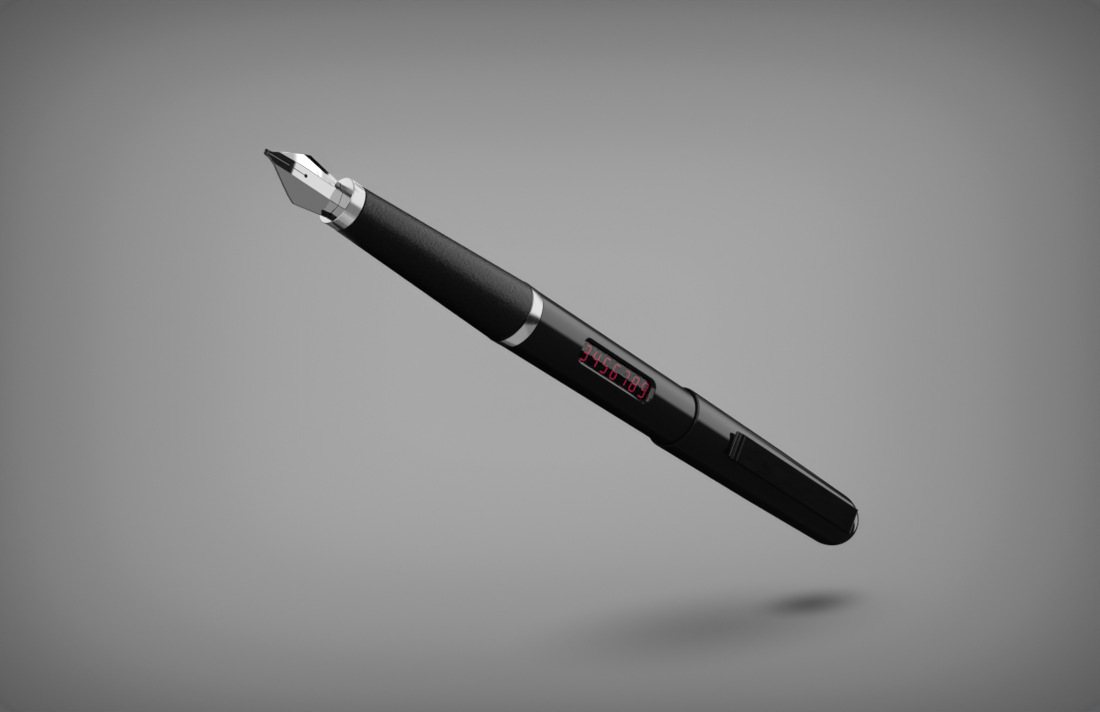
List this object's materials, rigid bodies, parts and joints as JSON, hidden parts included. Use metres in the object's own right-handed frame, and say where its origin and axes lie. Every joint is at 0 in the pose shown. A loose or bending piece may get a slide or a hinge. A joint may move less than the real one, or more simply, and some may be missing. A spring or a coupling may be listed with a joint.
{
  "type": "fountain pen",
  "caption": "Fountain pen with a folded nib, a textured grip, a display window in the barrel and the cap posted on its rear end.",
  "frame": {"origin": "middle of the pen's box in X and Y, at the height of the posted cap's lowest line", "axes": "+X along the pen from the nib to the cap's end, +Z towards the side with the nib's face, the display and the clip, +Y across"},
  "size_m": [0.1642, 0.0128, 0.0136],
  "materials": {
    "nib_steel": "polished steel, bright facets",
    "chrome": "mirror chrome",
    "grip_black": "satin black with a fine leather-like grain",
    "gloss_black": "gloss black",
    "clip_black": "gloss black lacquer",
    "black_plastic": "plain black moulding",
    "clear_plastic": "clear moulding",
    "seal_rubber": "soft black",
    "window_glass": "smoked glass",
    "display_panel": "dark panel with pink-red seven-segment digits",
    "circuit_board": "green board",
    "ribbon": "amber film ribbon",
    "contact_brass": "plated contact",
    "inner_steel": "plain bright steel"
  },
  "bodies": {
    "barrel": {"barrel": "gloss_black", "barrel_insert": "black_plastic", "display_bezel": "gloss_black", "display_window": "window_glass", "display_panel": "display_panel", "electronics_carrier": "black_plastic", "circuit_board": "circuit_board", "driver_chip": "black_plastic", "display_flex": "ribbon", "battery_contact": "contact_brass", "battery_cell_front": "inner_steel", "battery_cell_rear": "inner_steel", "battery_spring": "inner_steel", "barrel_end_plug": "black_plastic"},
    "section": {"nib": "nib_steel", "feed": "black_plastic", "front_collar": "chrome", "feed_housing": "black_plastic", "grip_section": "grip_black", "mid_ring": "chrome", "section_thread": "black_plastic", "converter_mouth": "black_plastic", "converter_tube": "clear_plastic", "converter_housing": "chrome"},
    "piston": {"piston_seal": "seal_rubber", "piston_stem": "black_plastic"},
    "knob": {"converter_knob": "black_plastic"},
    "cap": {"cap_shell": "gloss_black", "inner_cap": "black_plastic", "clutch_ring": "inner_steel", "clip_pin": "inner_steel", "clip_spring": "inner_steel"},
    "clip": {"clip": "clip_black"}
  },
  "joints": [
    {"name": "section_pull", "type": "slide", "parent": "barrel", "child": "section", "axis": [-1, 0, 0], "range_m": [0, 0.034]},
    {"name": "cap_pull", "type": "slide", "parent": "barrel", "child": "cap", "axis": [1, 0, 0], "range_m": [0, 0.028]},
    {"name": "clip_hinge", "type": "hinge", "parent": "cap", "child": "clip", "pos_m": [0.07435, 0, 0.01102], "axis": [0, 1, 0], "range_deg": [0, 7], "stiffness_Nm_per_rad": 0.1, "springref_deg": -8.59},
    {"name": "knob_turn", "type": "hinge", "parent": "section", "child": "knob", "pos_m": [0.00135, 0, 0.00642], "axis": [1, 0, 0], "range_deg": [0, 2520]},
    {"name": "piston_slide", "type": "slide", "parent": "section", "child": "piston", "axis": [1, 0, 0], "range_m": [0, 0.014]}
  ],
  "couplings": [
    {"joint": "knob_turn", "follows": "piston_slide", "rad_per_m": 3141.6}
  ]
}
